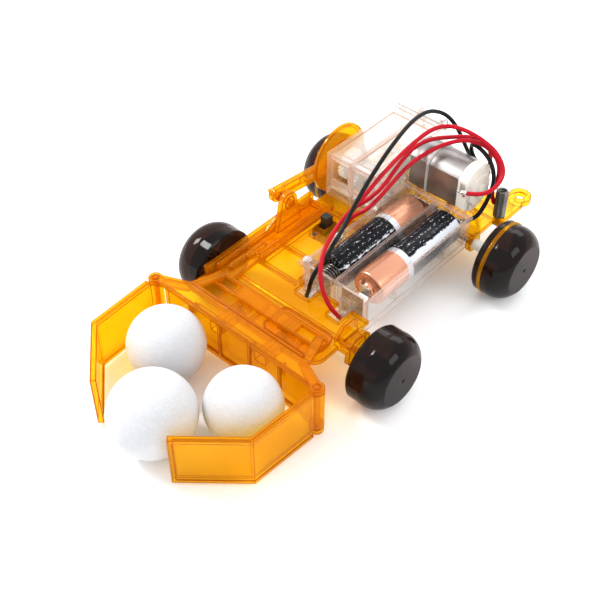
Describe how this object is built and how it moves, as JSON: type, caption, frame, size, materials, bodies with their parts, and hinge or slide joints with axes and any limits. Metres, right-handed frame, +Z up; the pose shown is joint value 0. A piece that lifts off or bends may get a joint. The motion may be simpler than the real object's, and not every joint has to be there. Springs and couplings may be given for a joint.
{
  "type": "toy robot vehicle",
  "caption": "Small battery-driven robot kit vehicle with domed wheels, a geared motor, a crank-driven slider and hinged claws that scoop up foam balls.",
  "frame": {"origin": "on the floor, under the centre of the whole kit's box", "axes": "+Y from the scoop towards the tow tab at the rear, +Z up, +X towards the battery box side"},
  "size_m": [0.1038, 0.1956, 0.0541],
  "materials": {
    "amber_plastic": "transparent gloss",
    "clear_plastic": "clear gloss",
    "smoky_plastic": "high gloss",
    "cream_plastic": "satin",
    "gear_plastic": "satin",
    "black_plastic": "matte",
    "motor_steel": "satin plated",
    "bright_steel": "bright",
    "spring_steel": "dark bright",
    "tinned_copper": "tinned",
    "cell_wrap": "gloss printed wrap",
    "foam": "beaded foam",
    "red_insulation": "gloss",
    "black_insulation": "gloss"
  },
  "bodies": {
    "base": {"axle_spacers": "cream_plastic", "battery_box": "clear_plastic", "battery_box_screws": "bright_steel", "battery_cell_left": "cell_wrap", "battery_cell_right": "cell_wrap", "chassis": "amber_plastic", "claw_hinge_pins": "amber_plastic", "contact_bridge_far": "tinned_copper", "contact_near_left": "tinned_copper", "contact_near_right": "tinned_copper", "contact_spring_near": "spring_steel", "deck_terminals": "tinned_copper", "front_cover": "amber_plastic", "gear_shafts": "bright_steel", "gearbox_screws": "bright_steel", "gearbox_shell_left": "clear_plastic", "gearbox_shell_right": "clear_plastic", "motor_can": "motor_steel", "motor_end_cap": "cream_plastic", "motor_magnets": "motor_steel", "motor_strap": "clear_plastic", "motor_terminals": "tinned_copper", "scoop_frame": "amber_plastic", "scoop_screws": "bright_steel", "spring_terminal": "spring_steel", "spring_terminal_post": "bright_steel", "switch_body": "black_plastic", "switch_legs": "tinned_copper", "wire_black_long": "black_insulation", "wire_black_short": "black_insulation", "wire_red_feed": "red_insulation", "wire_red_motor": "red_insulation", "wire_red_spring": "red_insulation"},
    "rear_wheelset": {"rear_wheel_left": "smoky_plastic", "rear_wheel_right": "smoky_plastic", "tyre_bands": "amber_plastic", "rear_axle": "bright_steel", "rear_axle_gear": "gear_plastic"},
    "front_wheelset": {"front_wheel_left": "smoky_plastic", "front_wheel_right": "smoky_plastic", "front_axle": "bright_steel"},
    "second_gear": {"reduction_gear_second": "gear_plastic"},
    "first_gear": {"reduction_gear_first": "gear_plastic"},
    "rotor": {"motor_shaft": "bright_steel", "motor_armature": "motor_steel", "motor_pinion": "gear_plastic"},
    "crank": {"crank_shaft": "bright_steel", "crank_gear": "gear_plastic", "crank_disc": "amber_plastic"},
    "slide_tray": {"slider": "amber_plastic", "rod_pin": "amber_plastic"},
    "rod": {"connecting_rod": "amber_plastic"},
    "left_claw": {"claw_left": "amber_plastic"},
    "right_claw": {"claw_right": "amber_plastic"},
    "knob": {"switch_knob": "black_plastic"},
    "ball_a": {"foam_ball_1": "foam"},
    "ball_b": {"foam_ball_2": "foam"},
    "ball_c": {"foam_ball_3": "foam"}
  },
  "joints": [
    {"name": "rear_axle_spin", "type": "hinge", "parent": "base", "child": "rear_wheelset", "pos_m": [-0.0028, 0.0609, 0.0151], "axis": [1, 0, 0], "continuous": true},
    {"name": "front_axle_spin", "type": "hinge", "parent": "base", "child": "front_wheelset", "pos_m": [-0.0028, -0.0136, 0.0148], "axis": [1, 0, 0], "continuous": true},
    {"name": "second_gear_spin", "type": "hinge", "parent": "base", "child": "second_gear", "pos_m": [-0.0028, 0.05346, 0.0232], "axis": [1, 0, 0], "continuous": true},
    {"name": "first_gear_spin", "type": "hinge", "parent": "base", "child": "first_gear", "pos_m": [-0.0028, 0.06237, 0.02649], "axis": [1, 0, 0], "continuous": true},
    {"name": "rotor_spin", "type": "hinge", "parent": "base", "child": "rotor", "pos_m": [-0.0028, 0.0693, 0.0337], "axis": [1, 0, 0], "continuous": true},
    {"name": "crank_spin", "type": "hinge", "parent": "base", "child": "crank", "pos_m": [-0.0028, 0.0505, 0.0317], "axis": [1, 0, 0], "continuous": true},
    {"name": "tray_slide", "type": "slide", "parent": "base", "child": "slide_tray", "axis": [0, -1, 0], "range_m": [0, 0.0105]},
    {"name": "rod_hinge", "type": "hinge", "parent": "slide_tray", "child": "rod", "pos_m": [-0.0354, 0.0158, 0.0323], "axis": [1, 0, 0], "range_deg": [0, 15]},
    {"name": "left_claw_hinge", "type": "hinge", "parent": "base", "child": "left_claw", "pos_m": [0.0368, -0.0416, 0.012], "axis": [0, 0, 1], "range_deg": [0, 31.2]},
    {"name": "right_claw_hinge", "type": "hinge", "parent": "base", "child": "right_claw", "pos_m": [-0.0424, -0.0416, 0.012], "axis": [0, 0, 1], "range_deg": [-31.2, 0]},
    {"name": "switch_slide", "type": "slide", "parent": "base", "child": "knob", "axis": [0, 1, 0], "range_m": [-0.0008, 0.0008]},
    {"name": "ball_a_lift", "type": "slide", "parent": "base", "child": "ball_a", "axis": [0, -0.15, 0.9887], "range_m": [0, 0.03]},
    {"name": "ball_b_lift", "type": "slide", "parent": "base", "child": "ball_b", "axis": [0, -0.15, 0.9887], "range_m": [0, 0.03]},
    {"name": "ball_c_lift", "type": "slide", "parent": "base", "child": "ball_c", "axis": [0, 0, 1], "range_m": [0, 0.03]}
  ],
  "couplings": [
    {"joint": "second_gear_spin", "follows": "rear_axle_spin", "ratio": -2.6667},
    {"joint": "first_gear_spin", "follows": "rear_axle_spin", "ratio": 7.4667},
    {"joint": "rotor_spin", "follows": "rear_axle_spin", "ratio": -29.867},
    {"joint": "crank_spin", "follows": "rear_axle_spin", "ratio": 1.3333},
    {"joint": "left_claw_hinge", "follows": "tray_slide", "rad_per_m": 51.836},
    {"joint": "right_claw_hinge", "follows": "tray_slide", "rad_per_m": -51.836}
  ]
}
